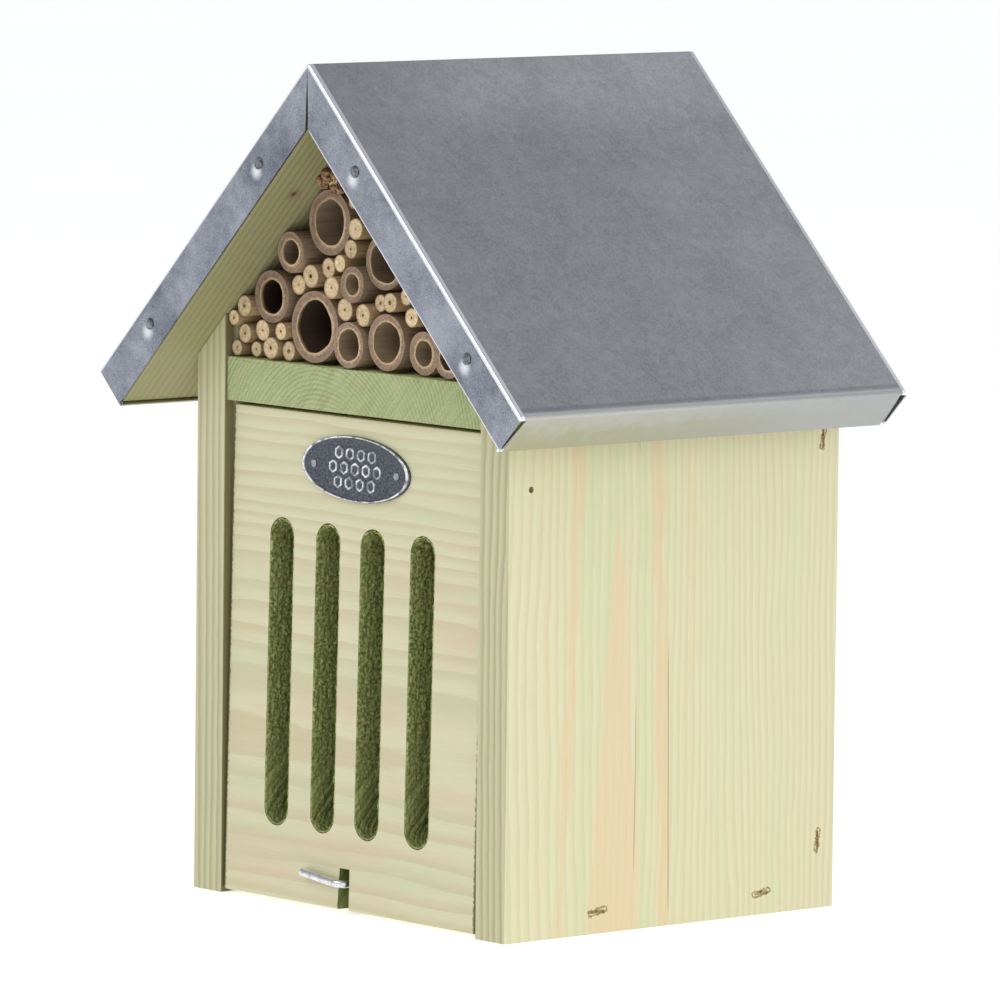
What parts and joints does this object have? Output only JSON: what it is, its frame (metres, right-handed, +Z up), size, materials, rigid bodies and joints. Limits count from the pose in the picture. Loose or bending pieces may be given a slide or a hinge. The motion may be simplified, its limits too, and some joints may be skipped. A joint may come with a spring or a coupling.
{
  "type": "insect hotel",
  "caption": "Gabled wooden insect hotel with a folded metal roof, canes in the gable and a hinged slotted door that a turn hook locks.",
  "frame": {"origin": "under the middle of the roof, level with the bottoms of the boards", "axes": "+Z up, the front with the door faces -Y, +X is to the right when facing the front"},
  "size_m": [0.2072, 0.1642, 0.2707],
  "materials": {
    "wood_side": "planed, pale green tint",
    "wood_back": "planed, pale green tint",
    "wood_shelf": "sawn end grain, green tint",
    "wood_roof": "planed, green tint",
    "wood_door": "planed, pale green tint",
    "galvanised_sheet": "galvanised",
    "galvanised_plate": "galvanised",
    "nail_steel": "bright zinc",
    "staple_wire": "dull wire",
    "plate_metal": "pressed, satin",
    "hook_wire": "bright zinc",
    "bamboo_dark": "cut bamboo",
    "bamboo_light": "cut cane with pith"
  },
  "bodies": {
    "house": {"left_side_panel": "wood_side", "right_side_panel": "wood_side", "back_panel": "wood_back", "floor_board": "wood_back", "shelf_board": "wood_shelf", "left_roof_board": "wood_roof", "right_roof_board": "wood_roof", "roof_sheet": "galvanised_sheet", "roof_sheet_nails": "nail_steel", "roof_board_nails": "nail_steel", "side_staples": "staple_wire", "door_pivot_nails": "nail_steel", "hanger_plate": "galvanised_plate", "hanger_screws": "nail_steel", "cane_01": "bamboo_light", "cane_02": "bamboo_light", "cane_03": "bamboo_light", "cane_04": "bamboo_light", "cane_05": "bamboo_light", "cane_06": "bamboo_light", "cane_07": "bamboo_light", "cane_08": "bamboo_light", "cane_09": "bamboo_dark", "cane_10": "bamboo_dark", "cane_11": "bamboo_dark", "cane_12": "bamboo_dark", "cane_13": "bamboo_dark", "cane_14": "bamboo_dark", "cane_15": "bamboo_light", "cane_16": "bamboo_dark", "cane_17": "bamboo_light", "cane_18": "bamboo_light", "cane_19": "bamboo_light", "cane_20": "bamboo_light", "cane_21": "bamboo_light", "cane_22": "bamboo_light", "cane_23": "bamboo_light", "cane_24": "bamboo_light", "cane_25": "bamboo_dark", "cane_26": "bamboo_light", "cane_27": "bamboo_light", "cane_28": "bamboo_light", "cane_29": "bamboo_dark", "cane_30": "bamboo_dark", "cane_31": "bamboo_light", "cane_32": "bamboo_dark", "cane_33": "bamboo_light", "cane_34": "bamboo_light", "cane_35": "bamboo_light", "cane_36": "bamboo_dark", "cane_37": "bamboo_light", "cane_38": "bamboo_dark", "cane_39": "bamboo_light", "cane_40": "bamboo_dark", "cane_41": "bamboo_light"},
    "door": {"front_door": "wood_door", "name_plate": "plate_metal", "name_plate_pins": "plate_metal"},
    "hook": {"turn_hook": "hook_wire"}
  },
  "joints": [
    {"name": "door_hinge", "type": "hinge", "parent": "house", "child": "door", "pos_m": [0, -0.05325, 0.14164], "axis": [-1, 0, 0], "range_deg": [0, 120]},
    {"name": "hook_turn", "type": "hinge", "parent": "house", "child": "hook", "pos_m": [-0.002, -0.04718, 0.0096], "axis": [0, -1, 0], "range_deg": [0, 96]}
  ]
}
